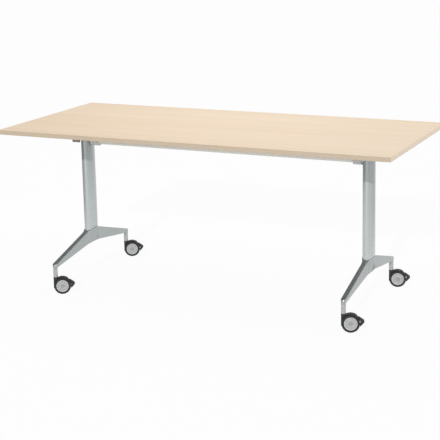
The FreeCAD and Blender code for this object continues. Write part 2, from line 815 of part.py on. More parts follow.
def frame_pieces():
    """Nodes of the standing frame."""
    pieces = {"crossbar": crossbar()}
    for name, shape in (("column", column()), ("foot", foot()), ("head", head()),
                        ("crossbar_plug", crossbar_plug())):
        pieces["left_" + name] = at_left(shape)
        pieces["right_" + name] = at_right(shape)
    for name, shapes in (("crossbar_bolts", [crossbar_bolt()]), ("foot_bolts", foot_bolts()),
                         ("head_screws", head_screws())):
        both = [place(shape) for place in (at_left, at_right) for shape in shapes]
        pieces[name] = Part.makeCompound(both)
    pieces["clamp_bolt"] = at_left(clamp_bolt(lever_outer_x + lever_bush_wall))
    pieces["tilt_stop_bolt"] = at_right(clamp_bolt(-half_width + column_wall))
    return pieces


def castor_nodes():
    """Nodes of the four castors, each turned about its own swivel axis."""
    pieces = {}
    shapes = castor_pieces()
    shapes["stem"] = castor_stem()
    for corner, turn in castor_turn.items():
        for name, shape in shapes.items():
            moved = shape.copy()
            moved.rotate(Vector(0, 0, 0), up, turn)
            moved.translate(castor_place(corner))
            pieces[corner + "_castor_" + name] = moved
    return pieces


def main():
    """Build every node and write it to the parts folder."""
    os.makedirs("parts", exist_ok=True)
    nodes = frame_pieces()
    nodes.update(top_pieces())
    nodes["tilt_lever"] = at_left(tilt_lever())
    nodes["lever_bush"] = at_left(lever_bush())
    nodes.update(castor_nodes())
    for name, shape in nodes.items():
        shape.exportStep("parts/" + name + ".step")
    print(len(nodes), "nodes")


main()
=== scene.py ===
"""Dressed scene of a flip-top conference table: finishes, moulded details, studio and camera."""
import json
import logging
import math
from dataclasses import dataclass
from enum import Enum
from typing import Callable, Dict, List, Sequence, Tuple, Union

import bpy
from mathutils import Matrix, Vector


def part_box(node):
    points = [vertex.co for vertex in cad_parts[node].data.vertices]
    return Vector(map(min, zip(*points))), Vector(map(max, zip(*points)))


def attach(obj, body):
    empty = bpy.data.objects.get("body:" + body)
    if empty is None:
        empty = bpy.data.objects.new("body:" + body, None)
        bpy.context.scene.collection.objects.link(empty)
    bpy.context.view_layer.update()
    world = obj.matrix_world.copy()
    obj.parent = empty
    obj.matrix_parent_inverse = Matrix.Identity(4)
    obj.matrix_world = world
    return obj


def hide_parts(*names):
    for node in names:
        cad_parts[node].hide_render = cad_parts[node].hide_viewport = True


log = logging.getLogger("conference_table")
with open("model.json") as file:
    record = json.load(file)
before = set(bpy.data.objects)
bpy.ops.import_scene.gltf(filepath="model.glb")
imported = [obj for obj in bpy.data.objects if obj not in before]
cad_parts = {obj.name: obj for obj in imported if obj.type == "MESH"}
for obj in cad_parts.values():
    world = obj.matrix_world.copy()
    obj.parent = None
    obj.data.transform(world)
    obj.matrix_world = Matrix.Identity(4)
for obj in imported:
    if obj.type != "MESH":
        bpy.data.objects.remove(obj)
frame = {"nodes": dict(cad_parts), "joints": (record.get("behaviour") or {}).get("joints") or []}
JOINTS = {joint["name"]: joint for joint in frame["joints"]}
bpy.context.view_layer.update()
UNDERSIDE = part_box("board")[0][2]
RECESS = "recess"
MM = 0.001
MERGE_DISTANCE = 0.001 * MM

Colour = Tuple[float, float, float]
Point = Tuple[float, float]
Value = Union["Wire", float, Sequence[float]]


def linear(red: int, green: int, blue: int) -> Colour:
    """Turn an 8-bit display colour into a linear one.

    Args:
        red: Display red, 0 to 255.
        green: Display green, 0 to 255.
        blue: Display blue, 0 to 255.

    Returns:
        The linear colour.
    """
    def channel(level: int) -> float:
        """Linear value of one channel."""
        share = level / 255
        return share / 12.92 if share <= 0.04045 else ((share + 0.055) / 1.055) ** 2.4
    return channel(red), channel(green), channel(blue)


@dataclass(frozen=True)
class Pattern:
    """Noise pattern: stretch along the three axes, cells to a stretched metre and number of finer layers."""

    stretch: Tuple[float, float, float]
    cells: float
    layers: float


EVEN = (1.0, 1.0, 1.0)
GROWTH_BANDS = Pattern((0.35, 9.0, 1.0), 1.6, 4.0)
WOOD_STREAKS = Pattern((0.9, 60.0, 1.0), 2.2, 5.0)
WOOD_PORES = Pattern((7.0, 420.0, 40.0), 1.5, 2.0)
STRIP_STREAKS = Pattern((1.2, 1.2, 220.0), 2.0, 4.0)
STRIP_SCUFFS = Pattern((30.0, 30.0, 30.0), 3.0, 3.0)
UPRIGHT_DRAW_LINES = Pattern((160.0, 160.0, 1.0), 6.0, 3.0)
LEVEL_DRAW_LINES = Pattern((1.0, 160.0, 160.0), 6.0, 3.0)
ORANGE_PEEL = Pattern(EVEN, 900.0, 2.0)
COAT_CLOUD = Pattern(EVEN, 9.0, 3.0)
CAST_PEBBLE = Pattern(EVEN, 700.0, 3.0)
CAST_CLOUD = Pattern(EVEN, 14.0, 4.0)
MOULD_SPARK = Pattern(EVEN, 1500.0, 2.0)
MOULD_WEAR = Pattern(EVEN, 55.0, 4.0)
TREAD_GRAIN = Pattern(EVEN, 1100.0, 3.0)
TREAD_DUST = Pattern(EVEN, 90.0, 4.0)
PLATE_CLOUD = Pattern(EVEN, 120.0, 4.0)
PLATE_GRAIN = Pattern(EVEN, 2200.0, 2.0)


@dataclass(frozen=True)
class Relief:
    """Bump of a finish: its depth in metres and its strength."""

    depth: float
    strength: float


PORE_RELIEF = Relief(0.03 * MM, 0.35)
STRIP_RELIEF = Relief(0.04 * MM, 0.4)
COAT_RELIEF = Relief(0.04 * MM, 0.3)
CAST_RELIEF = Relief(0.08 * MM, 0.5)
MOULD_RELIEF = Relief(0.06 * MM, 0.5)
TREAD_RELIEF = Relief(0.1 * MM, 0.5)
PLATE_RELIEF = Relief(0.02 * MM, 0.4)


class Ray(Enum):
    """Kinds of light ray that the studio treats in their own way."""

    CAMERA = "Is Camera Ray"
    GLOSSY = "Is Glossy Ray"


@dataclass(frozen=True)
class Wire:
    """A shader socket that can be used in Python expressions."""

    shader: "Shader"
    socket: bpy.types.NodeSocket

    def _math(self, operation: str, first: Value, second: Value) -> "Wire":
        """Add one Math node and return its result."""
        return self.shader.node("ShaderNodeMath", {"operation": operation}, {0: first, 1: second})

    def __add__(self, other: Value) -> "Wire":
        """Sum with a number or another wire."""
        return self._math("ADD", self, other)

    __radd__ = __add__

    def __sub__(self, other: Value) -> "Wire":
        """Difference with a number or another wire."""
        return self._math("SUBTRACT", self, other)

    def __rsub__(self, other: Value) -> "Wire":
        """Number minus this wire."""
        return self._math("SUBTRACT", other, self)

    def __mul__(self, other: Value) -> "Wire":
        """Product with a number or another wire."""
        return self._math("MULTIPLY", self, other)

    __rmul__ = __mul__


class Shader:
    """Builder of the nodes of one material or world."""

    def __init__(self, owner: Union[bpy.types.Material, bpy.types.World]) -> None:
        """Start with an empty node tree.

        Args:
            owner: Material or world that gets the nodes.
        """
        self.owner = owner
        self.owner.use_nodes = True
        self.tree = self.owner.node_tree
        self.tree.nodes.clear()

    def node(self, kind: str, settings: Dict[str, object], inputs: Dict[Union[int, str], Value],
             output: Union[int, str] = 0) -> Wire:
        """Add a node, set it up and link it.

        Args:
            kind: Blender's name of the node type.
            settings: Attributes set before anything is linked.
            inputs: Socket number or name to a value or a wire.
            output: Number or name of the socket that is returned.

        Returns:
            The wire of the chosen output.
        """
        made = self.tree.nodes.new(kind)
        for key, value in settings.items():
            setattr(made, key, value)
        for key, value in inputs.items():
            if isinstance(value, Wire):
                self.tree.links.new(value.socket, made.inputs[key])
            else:
                made.inputs[key].default_value = value
        return Wire(self, made.outputs[output])

    def place(self, stretch: Sequence[float]) -> Wire:
        """Object coordinates stretched along the three axes."""
        coords = self.node("ShaderNodeTexCoord", {}, {}, "Object")
        return self.node("ShaderNodeMapping", {}, {"Vector": coords, "Scale": tuple(stretch)})

    def axes(self, vector: Wire) -> Tuple[Wire, Wire, Wire]:
        """Split a vector.

        Args:
            vector: Wire of the vector.

        Returns:
            The wires of its X, Y and Z.
        """
        split = self.node("ShaderNodeSeparateXYZ", {}, {"Vector": vector}).socket.node
        across, along, rise = (Wire(self, split.outputs[axis]) for axis in "XYZ")
        return across, along, rise

    def noise(self, pattern: Pattern, finer: float = 1.0) -> Wire:
        """Noise between 0 and 1 on stretched object coordinates.

        Args:
            pattern: Stretch, cell size and layers.
            finer: Factor on the number of cells.

        Returns:
            The wire of the noise.
        """
        return self.node("ShaderNodeTexNoise", {}, {
            "Vector": self.place(pattern.stretch), "Scale": pattern.cells * finer, "Detail": pattern.layers})

    def between(self, factor: Value, low: float, high: float) -> Wire:
        """Stretch the part of a wire between two levels to 0 to 1."""
        return self.node("ShaderNodeMapRange", {"clamp": True},
                         {"Value": factor, "From Min": low, "From Max": high})

    def blend(self, factor: Value, first: Value, second: Value) -> Wire:
        """Mix two colours.

        Args:
            factor: Share of the second one.
            first: Wire or plain colour.
            second: Wire or plain colour.

        Returns:
            The wire of the mixed colour.
        """
        pair = [value if isinstance(value, Wire) else (*value, 1.0) for value in (first, second)]
        return self.node("ShaderNodeMix", {"data_type": "RGBA"}, {0: factor, 6: pair[0], 7: pair[1]}, 2)

    def bump(self, height: Wire, relief: Relief) -> Wire:
        """Bump from a height wire."""
        return self.node("ShaderNodeBump", {}, {
            "Height": height, "Distance": relief.depth, "Strength": relief.strength})

    def on(self, ray: Ray) -> Wire:
        """Wire that is 1 for rays of one kind and 0 for the others."""
        return self.node("ShaderNodeLightPath", {}, {}, ray.value)

    def close(self, shader: Wire) -> Union[bpy.types.Material, bpy.types.World]:
        """Link a shader to the output of the material or world.

        Args:
            shader: Wire of the shader.

        Returns:
            The material or world.
        """
        ending = "World" if isinstance(self.owner, bpy.types.World) else "Material"
        out = self.tree.nodes.new(f"ShaderNodeOutput{ending}")
        self.tree.links.new(shader.socket, out.inputs["Surface"])
        return self.owner

    def surface(self, inputs: Dict[str, Value]) -> bpy.types.Material:
        """Close the material with a Principled shader.

        Args:
            inputs: Socket names to values or wires.

        Returns:
            The finished material.
        """
        return self.close(self.node("ShaderNodeBsdfPrincipled", {}, inputs))


class Texture(Enum):
    """Kinds of surface that the table has."""

    LAMINATE = "laminate"
    EDGE_BAND = "edge_band"
    EXTRUDED = "extruded"
    CAST = "cast"
    MOULDED = "moulded"
    RUBBER = "rubber"
    PLATED = "plated"


# Painted shade: the board's underside is painted dark grey, fading in over its lowest fraction of a millimetre.
UNDERSIDE_SHADE_GREY = linear(108, 109, 109)
UNDERSIDE_SHADE_START = 0.3 * MM
UNDERSIDE_SHADE_FULL = 0.1 * MM


@dataclass(frozen=True)
class Finish:
    """One finish: a surface kind with its two tones, gloss and metal share."""

    name: str
    texture: Texture
    colour: Colour
    second: Colour
    roughness: float
    metallic: float = 0.0
    lines: Pattern = UPRIGHT_DRAW_LINES
    finer: float = 1.0
    recess_shade: float = 0.0

    def material(self) -> bpy.types.Material:
        """Build the material, or return the one that is already there.

        Returns:
            The finish's material.
        """
        known = bpy.data.materials.get(self.name)
        if known:
            return known
        makers: Dict[Texture, Callable[[Shader], bpy.types.Material]] = {
            Texture.LAMINATE: self._laminate, Texture.EDGE_BAND: self._edge_band,
            Texture.EXTRUDED: self._extruded, Texture.CAST: self._cast,
            Texture.MOULDED: self._moulded, Texture.RUBBER: self._rubber,
            Texture.PLATED: self._plated}
        return makers[self.texture](Shader(bpy.data.materials.new(self.name)))

    def _principled(self, shader: Shader, base: Wire, rough: Wire, normal: Wire,
                    specular: float = 0.5) -> bpy.types.Material:
        """Close a material with the finish's own metal share.

        Args:
            shader: Builder of the new material.
            base: Wire of the colour.
            rough: Wire of the roughness.
            normal: Wire of the bump.
            specular: Strength of the gloss of what isn't metal.

        Returns:
            The finished material.
        """
        return shader.surface({"Base Color": base, "Roughness": rough, "Normal": normal,
                               "Metallic": self.metallic, "Specular IOR Level": specular})

    def _laminate(self, shader: Shader) -> bpy.types.Material:
        """Straight-grained pale wood pattern under a satin film, with painted shade: the board's underside is
        painted dark grey.

        Args:
            shader: Builder of the new material.

        Returns:
            The finished material.
        """
        band_share, grain_span, rough_gain = 0.55, (0.3, 0.72), 0.08
        fleck_share, fleck_span, fleck_dark = 0.22, (0.62, 0.74), 0.62
        streaks = shader.noise(WOOD_STREAKS)
        pores = shader.noise(WOOD_PORES)
        grain = shader.noise(GROWTH_BANDS) * band_share + streaks * (1 - band_share)
        base = shader.blend(shader.between(grain, *grain_span), self.second, self.colour)
        flecks = shader.between(pores, *fleck_span) * fleck_share
        base = shader.blend(flecks, base, tuple(channel * fleck_dark for channel in self.second))
        height = shader.axes(shader.place(EVEN))[2]
        # Painted shade: the underside of the board turns dark grey.
        underside_shade = shader.between(height, UNDERSIDE + UNDERSIDE_SHADE_START, UNDERSIDE + UNDERSIDE_SHADE_FULL)
        base = shader.blend(underside_shade, base, UNDERSIDE_SHADE_GREY)
        rough = self.roughness + streaks * rough_gain
        return self._principled(shader, base, rough, shader.bump(pores, PORE_RELIEF))

    def _edge_band(self, shader: Shader) -> bpy.types.Material:
        """Plain pale strip with fine streaks along its length and scuffs.

        Args:
            shader: Builder of the new material.

        Returns:
            The finished material.
        """
        scuff_span, rough_gain = (0.55, 0.8), 0.12
        streaks = shader.noise(STRIP_STREAKS)
        scuffs = shader.between(shader.noise(STRIP_SCUFFS), *scuff_span)
        base = shader.blend(streaks, self.second, self.colour)
        rough = self.roughness + scuffs * rough_gain
        return self._principled(shader, base, rough, shader.bump(streaks, STRIP_RELIEF))

    def _extruded(self, shader: Shader) -> bpy.types.Material:
        """Satin coat over an extrusion: faint draw lines along it and a fine orange peel.

        Args:
            shader: Builder of the new material.

        Returns:
            The finished material.
        """
        line_share, rough_gain = 0.6, 0.08
        lines = shader.noise(self.lines)
        cloud = shader.noise(COAT_CLOUD)
        base = shader.blend(lines * line_share + cloud * (1 - line_share), self.second, self.colour)
        rough = self.roughness + cloud * rough_gain
        height = lines * line_share + shader.noise(ORANGE_PEEL) * (1 - line_share)
        return self._principled(shader, base, rough, shader.bump(height, COAT_RELIEF))

    def _cast(self, shader: Shader) -> bpy.types.Material:
        """Coated casting: softly pebbled, a little uneven in tone.

        Args:
            shader: Builder of the new material.

        Returns:
            The finished material.
        """
        cloud_share, rough_gain = 0.7, 0.12
        pebble = shader.noise(CAST_PEBBLE, self.finer)
        tone = shader.noise(CAST_CLOUD) * cloud_share + pebble * (1 - cloud_share)
        base = shader.blend(tone, self.second, self.colour)
        rough = self.roughness + pebble * rough_gain
        return self._principled(shader, base, rough, shader.bump(pebble, CAST_RELIEF))

    def _moulded(self, shader: Shader) -> bpy.types.Material:
        """Spark-textured moulded plastic with slight wear, and painted shade in its marked recesses.

        Args:
            shader: Builder of the new material.

        Returns:
            The finished material.
        """
        wear_share, wear_span, spark_share = 0.5, (0.5, 0.75), 0.3
        recess_dark, rough_gain, gloss = 0.25, 0.15, 0.4
        spark = shader.noise(MOULD_SPARK)
        wear = shader.between(shader.noise(MOULD_WEAR), *wear_span)
        base = shader.blend(wear * wear_share + spark * spark_share, self.colour, self.second)
        # Painted shade: the marked recesses are darkened.
        if self.recess_shade:
            deep = shader.node("ShaderNodeAttribute", {"attribute_name": RECESS}, {}, "Fac")
            shade = tuple(channel * recess_dark for channel in self.second)
            base = shader.blend(deep * self.recess_shade, base, shade)
        rough = self.roughness + spark * rough_gain
        return self._principled(shader, base, rough, shader.bump(spark, MOULD_RELIEF), gloss)

    def _rubber(self, shader: Shader) -> bpy.types.Material:
        """Matt tread with dust in its fine texture.

        Args:
            shader: Builder of the new material.

        Returns:
            The finished material.
        """
        dust_share, dust_span, rough_gain, gloss = 0.6, (0.52, 0.78), 0.2, 0.3
        fine = shader.noise(TREAD_GRAIN)
        dust = shader.between(shader.noise(TREAD_DUST), *dust_span)
        base = shader.blend(dust * dust_share, self.colour, self.second)
        rough = self.roughness + fine * rough_gain
        return self._principled(shader, base, rough, shader.bump(fine, TREAD_RELIEF), gloss)

    def _plated(self, shader: Shader) -> bpy.types.Material:
        """Zinc plate: bright metal with cloudy passivation.

        Args:
            shader: Builder of the new material.

        Returns:
            The finished material.
        """
        rough_gain = 0.15
        cloud = shader.noise(PLATE_CLOUD)
        base = shader.blend(cloud, self.second, self.colour)
        rough = self.roughness + cloud * rough_gain
        return self._principled(shader, base, rough, shader.bump(shader.noise(PLATE_GRAIN), PLATE_RELIEF))


LAMINATE = Finish("pale_wood_laminate", Texture.LAMINATE, linear(244, 223, 196), linear(234, 207, 174), 0.36)
# Painted light: the table's end strips get a lighter copy of the edge band, where side light falls on the ends.
END_BAND_PAINTED_LIGHT = Finish("end_band_painted_light", Texture.EDGE_BAND, linear(226, 209, 187), linear(216, 198, 175), 0.42)
EDGE_BAND = Finish("pale_edge_band", Texture.EDGE_BAND, linear(195, 179, 158), linear(184, 167, 144), 0.42)
COLUMN_COAT = Finish("silver_column_coat", Texture.EXTRUDED, linear(194, 200, 200), linear(182, 188, 188),
                     0.2, metallic=0.45)
STEM_COAT = Finish("silver_stem_coat", Texture.EXTRUDED, linear(182, 183, 183), linear(170, 171, 171),
                   0.3, metallic=0.6)
# Painted light: the crossbar's silver coat is made lighter and warm beige, standing in for light bounced from the
# board onto it.
BAR_COAT_WITH_PAINTED_LIGHT = Finish("silver_bar_coat_painted_light", Texture.EXTRUDED, linear(240, 236, 229), linear(229, 225, 218),
                  0.42, metallic=0.25, lines=LEVEL_DRAW_LINES)
FOOT_COAT = Finish("silver_casting_coat", Texture.CAST, linear(176, 181, 181), linear(164, 169, 169),
                   0.26, metallic=0.9)
CARRIER_COAT = Finish("grey_bracket_coat", Texture.CAST, linear(224, 221, 216), linear(212, 209, 204),
                      0.5, finer=1.3)
HEAD_PLASTIC = Finish("dark_cap_plastic", Texture.MOULDED, linear(70, 71, 73), linear(84, 85, 87), 0.5)
BUSH_PLASTIC = Finish("natural_bush_plastic", Texture.MOULDED, linear(226, 224, 218), linear(212, 210, 203), 0.45)
LEVER_PLASTIC = Finish("grey_lever_plastic", Texture.MOULDED, linear(166, 165, 163), linear(152, 151, 149), 0.42)
CASTOR_PLASTIC = Finish("black_castor_plastic", Texture.MOULDED, linear(44, 44, 46), linear(60, 60, 62), 0.42)
PEDAL_PLASTIC = Finish("black_pedal_plastic", Texture.MOULDED, linear(38, 38, 40), linear(54, 54, 56), 0.5)
HUB_PLASTIC = Finish("grey_hub_plastic", Texture.MOULDED, linear(190, 192, 194), linear(176, 178, 180),
                     0.45, recess_shade=0.5)
TYRE_RUBBER = Finish("black_tyre_rubber", Texture.RUBBER, linear(40, 40, 42), linear(74, 73, 71), 0.62)
ZINC = Finish("zinc_plate", Texture.PLATED, linear(196, 198, 202), linear(172, 174, 178), 0.28, metallic=0.9)

# The end strips take the edge band's lighter copy, as painted light.
NODE_FINISH: Dict[str, Finish] = {
    "board": LAMINATE, "edge_strip": EDGE_BAND, "left_edge_strip": END_BAND_PAINTED_LIGHT, "right_edge_strip": END_BAND_PAINTED_LIGHT,
    "column": COLUMN_COAT, "foot": FOOT_COAT, "head": HEAD_PLASTIC,
    "crossbar": BAR_COAT_WITH_PAINTED_LIGHT, "crossbar_plug": ZINC, "carrier": CARRIER_COAT, "bush": BUSH_PLASTIC,
    "carrier_screws": ZINC, "crossbar_bolts": ZINC, "foot_bolts": ZINC, "head_screws": ZINC,
    "clamp_bolt": ZINC, "tilt_stop_bolt": ZINC, "tilt_lever": LEVER_PLASTIC, "lever_bush": ZINC,
    "castor_stem": STEM_COAT, "castor_housing": CASTOR_PLASTIC, "castor_axle": ZINC,
    "castor_pedal": PEDAL_PLASTIC, "near_tyre": TYRE_RUBBER, "far_tyre": TYRE_RUBBER,
    "near_hub": HUB_PLASTIC, "far_hub": HUB_PLASTIC}


def finish_of(node: str) -> Finish:
    """Finish of a CAD node, found by the longest ending of its name.

    Args:
        node: Name of the node.

    Returns:
        The finish.
    """
    endings = [ending for ending in NODE_FINISH if node.endswith(ending)]
    return NODE_FINISH[max(endings, key=len)]


def dress(piece: bpy.types.Object, finish: Finish) -> None:
    """Give a piece one finish in its only material slot."""
    piece.data.materials.clear()
    piece.data.materials.append(finish.material())


class Modeller:
    """Mesh operators on one new object at a time."""

    @staticmethod
    def pick(pieces: Sequence[bpy.types.Object]) -> None:
        """Select pieces alone and make the first one active.

        Args:
            pieces: Objects to select.
        """
        bpy.ops.object.select_all(action="DESELECT")
        for piece in pieces:
            piece.select_set(True)
        bpy.context.view_layer.objects.active = pieces[0]

    @staticmethod
    def rename(piece: bpy.types.Object, name: str) -> None:
        """Give an object and its mesh one name."""
        piece.name = name
        piece.data.name = name

    @staticmethod
    def outline(name: str, points: Sequence[Vector]) -> bpy.types.Object:
        """Add a filled outline.

        Args:
            name: Name of the new object.
            points: Corners in order, in metres.

        Returns:
            The new object, at the origin.
        """
        bpy.ops.object.select_all(action="DESELECT")
        bpy.ops.mesh.primitive_circle_add(vertices=len(points), fill_type="NGON")
        piece = bpy.context.object
        Modeller.rename(piece, name)
        for vertex, point in zip(piece.data.vertices, points):
            vertex.co = point
        return piece

    @staticmethod
    def extrude(piece: bpy.types.Object, run: Vector) -> None:
        """Push a flat outline along a vector into a closed solid.

        Args:
            piece: Outline, in object mode.
            run: Way and length of the push.
        """
        Modeller.pick([piece])
        bpy.ops.object.mode_set(mode="EDIT")
        bpy.ops.mesh.select_all(action="SELECT")
        bpy.ops.mesh.extrude_region_move(TRANSFORM_OT_translate={"value": run})
        Modeller.tidy()
        bpy.ops.object.mode_set(mode="OBJECT")

    @staticmethod
    def tidy() -> None:
        """Merge doubles and turn all faces outwards, in edit mode."""
        bpy.ops.mesh.select_all(action="SELECT")
        bpy.ops.mesh.remove_doubles(threshold=MERGE_DISTANCE)
        bpy.ops.mesh.normals_make_consistent(inside=False)

    @staticmethod
    def lathe(name: str, profile: Sequence[Point], steps: int = 72) -> bpy.types.Object:
        """Turn a closed profile once round the Y axis.

        Args:
            name: Name of the new object.
            profile: Distances from the axis and along it, in metres, first and last on the axis.
            steps: Number of facets round the axis.

        Returns:
            The new solid, at the origin.
        """
        piece = Modeller.outline(name, [Vector((r, y, 0)) for r, y in profile])
        bpy.ops.object.mode_set(mode="EDIT")
        bpy.ops.mesh.select_all(action="SELECT")
        bpy.ops.mesh.delete(type="ONLY_FACE")
        bpy.ops.mesh.select_all(action="SELECT")
        bpy.ops.mesh.spin(steps=steps, angle=math.tau, center=(0, 0, 0), axis=(0, 1, 0))
        Modeller.tidy()
        bpy.ops.object.mode_set(mode="OBJECT")
        return piece

    @staticmethod
    def modify(piece: bpy.types.Object, kind: str, settings: Dict[str, object]) -> None:
        """Add one modifier and apply it.

        Args:
            piece: Object that gets it.
            kind: Blender's name of the modifier type.
            settings: Its attributes.
        """
        Modeller.pick([piece])
        made = piece.modifiers.new(kind.lower(), kind)
        for key, value in settings.items():
            setattr(made, key, value)
        bpy.ops.object.modifier_apply(modifier=made.name)

    @staticmethod
    def soften(piece: bpy.types.Object, width: float, segments: int = 3, limit: float = 25.0) -> None:
        """Bevel the sharp edges and shade the rest smooth.

        Args:
            piece: Object to soften.
            width: Width of the bevel.
            segments: Number of its facets.
            limit: Angle in degrees above which an edge counts as sharp.
        """
        Modeller.modify(piece, "BEVEL", {"width": width, "segments": segments, "limit_method": "ANGLE",
                                         "angle_limit": math.radians(limit)})
        Modeller.smooth(piece)

    @staticmethod
    def smooth(piece: bpy.types.Object, limit: float = 30.0) -> None:
        """Shade a piece smooth up to an angle.

        Args:
            piece: Object to shade.
            limit: Angle in degrees.
        """
        Modeller.pick([piece])
        bpy.ops.object.shade_smooth_by_angle(angle=math.radians(limit))

    @staticmethod
    def cut(piece: bpy.types.Object, tool: bpy.types.Object) -> None:
        """Take a tool out of a piece and delete the tool."""
        Modeller.modify(piece, "BOOLEAN", {"operation": "DIFFERENCE", "object": tool, "solver": "EXACT"})
        bpy.data.objects.remove(tool, do_unlink=True)

    @staticmethod
    def join(pieces: Sequence[bpy.types.Object], name: str) -> bpy.types.Object:
        """Join pieces into one object.

        Args:
            pieces: Objects to join, the first one kept.
            name: Name of the result.

        Returns:
            The joined object.
        """
        Modeller.pick(pieces)
        bpy.ops.object.join()
        Modeller.rename(pieces[0], name)
        return pieces[0]

    @staticmethod
    def copy(piece: bpy.types.Object, name: str, matrix: Matrix) -> bpy.types.Object:
        """Copy a piece with its own mesh, moved by a matrix.

        Args:
            piece: Object that is copied.
            name: Name of the copy.
            matrix: Move that goes into the copy's mesh.

        Returns:
            The copy, at the origin.
        """
        twin = piece.copy()
        twin.data = piece.data.copy()
        Modeller.rename(twin, name)
        bpy.context.collection.objects.link(twin)
        twin.data.transform(matrix)
        if matrix.determinant() < 0:
            twin.data.flip_normals()
        return twin

    @staticmethod
    def move(piece: bpy.types.Object, matrix: Matrix) -> bpy.types.Object:
        """Move a piece by a matrix that goes into its mesh."""
        piece.data.transform(matrix)
        return piece


class Drive(Enum):
    """Recess in a fastener's head, with its number of sides."""

    HEX = 6
    CROSS = 4


@dataclass(frozen=True)
class FastenerHead:
    """Rounded head of a bolt or screw with a driver recess, standing on Y = 0 towards -Y."""

    radius: float
    height: float
    shank_radius: float
    shank_length: float
    drive: Drive
    recess_radius: float
    recess_depth: float
    rim_share: float = 0.25
    tip_share: float = 0.8
    taper_share: float = 0.4
    bar_share: float = 0.28
    dome_steps: int = 6
    facets: int = 48
    smooth_limit: float = 32.0

    def build(self, name: str) -> bpy.types.Object:
        """Model the head and its shank.

        Args:
            name: Name of the new object.

        Returns:
            The fastener, with its shank along +Y.
        """
        dome = []
        for i in range(self.dome_steps):
            angle = math.pi / 2 * i / self.dome_steps
            rise = self.rim_share + (1 - self.rim_share) * math.sin(angle)
            dome.append((self.radius * math.cos(angle), -self.height * rise))
        taper_start = self.shank_length - self.shank_radius * self.taper_share
        shank = [(0.0, self.shank_length), (self.shank_radius * self.tip_share, self.shank_length),
                 (self.shank_radius, taper_start), (self.shank_radius, 0.0)]
        piece = Modeller.lathe(name, shank + [(self.radius, 0.0)] + dome + [(0.0, -self.height)], self.facets)
        for tool in self._tools():
            Modeller.cut(piece, tool)
        Modeller.smooth(piece, self.smooth_limit)
        return piece

    def spread(self, name: str, places: Sequence[Matrix]) -> bpy.types.Object:
        """Model one fastener and copy it to all its places.

        Args:
            name: Name of the joined copies.
            places: Move of each copy.

        Returns:
            The joined copies.
        """
        first = self.build(name)
        copies = [Modeller.copy(first, name, place) for place in places]
        bpy.data.objects.remove(first, do_unlink=True)
        return Modeller.join(copies, name)

    def _tools(self) -> List[bpy.types.Object]:
        """Recess cutters for the driver.

        Returns:
            One prism for a hexagon, two crossed bars for a cross.
        """
        floor = -self.height + self.recess_depth
        if self.drive is Drive.HEX:
            angles = [math.tau * i / self.drive.value for i in range(self.drive.value)]
            outlines = [[Vector((self.recess_radius * math.cos(a), floor, self.recess_radius * math.sin(a)))
                         for a in angles]]
        else:
            thin = self.recess_radius * self.bar_share
            long = self.recess_radius
            outlines = [[Vector((x * w, floor, z * h)) for x, z in ((-1, -1), (1, -1), (1, 1), (-1, 1))]
                        for w, h in ((long, thin), (thin, long))]
        tools = []
        for corners in outlines:
            tool = Modeller.outline("recess_cutter", corners)
            Modeller.extrude(tool, Vector((0, -self.height - self.recess_depth, 0)))
            tools.append(tool)
        return tools


def settle(piece: bpy.types.Object, finish: Finish, body: str, node: str) -> None:
    """Dress a modelled piece, tie it to its body and hide the CAD node that it stands for.

    Args:
        piece: Finished piece.
        finish: Its finish.
        body: Body it moves with.
        node: CAD node it stands for.
    """
    dress(piece, finish)
    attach(piece, body)
    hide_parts(node)
    log.info("%s built", piece.name)


@dataclass
class TopAssembly:
    """Board, edge strips and the carriers under them, with the carrier screws."""

    body: str = "top"
    screw: FastenerHead = FastenerHead(
        radius=4.5 * MM, height=2.6 * MM, shank_radius=2.0 * MM, shank_length=17.0 * MM,
        drive=Drive.CROSS, recess_radius=2.6 * MM, recess_depth=1.5 * MM)
    turn_per_metre: float = 40.0

    def build(self) -> None:
        """Model the carrier screws with their recesses, each turned another way."""
        low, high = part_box("carrier_screws")
        seat = low.z + self.screw.height
        inset = self.screw.radius
        plate_low, plate_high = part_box("left_carrier")
        near = low.x + inset
        far = plate_high.x - (near - plate_low.x)
        upright = Matrix.Rotation(math.radians(90), 4, "X")
        places = []
        for side in (1, -1):
            for x in (near, far):
                for y in (low.y + inset, high.y - inset):
                    turn = Matrix.Rotation(self.turn_per_metre * (x + y) + side, 4, "Z")
                    places.append(Matrix.Translation((side * x, y, seat)) @ turn @ upright)
        screws = self.screw.spread("carrier_screw_heads", places)
        settle(screws, ZINC, self.body, "carrier_screws")


@dataclass
class Frame:
    """Columns, feet and crossbar, with the bolt heads that show."""

    body: str = "frame"
    bolt: FastenerHead = FastenerHead(
        radius=9.0 * MM, height=4.5 * MM, shank_radius=5.0 * MM, shank_length=60.0 * MM,
        drive=Drive.HEX, recess_radius=3.4 * MM, recess_depth=2.6 * MM)

    def build(self) -> None:
        """Model the button heads of the crossbar bolts."""
        low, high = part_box("crossbar_bolts")
        middle = (low + high) / 2
        places = []
        for side in (1, -1):
            turn = Matrix.Rotation(math.radians(90 * side), 4, "Z")
            places.append(Matrix.Translation((side * (high.x - self.bolt.height), middle.y, middle.z)) @ turn)
        bolts = self.bolt.spread("crossbar_bolt_heads", places)
        settle(bolts, ZINC, self.body, "crossbar_bolts")


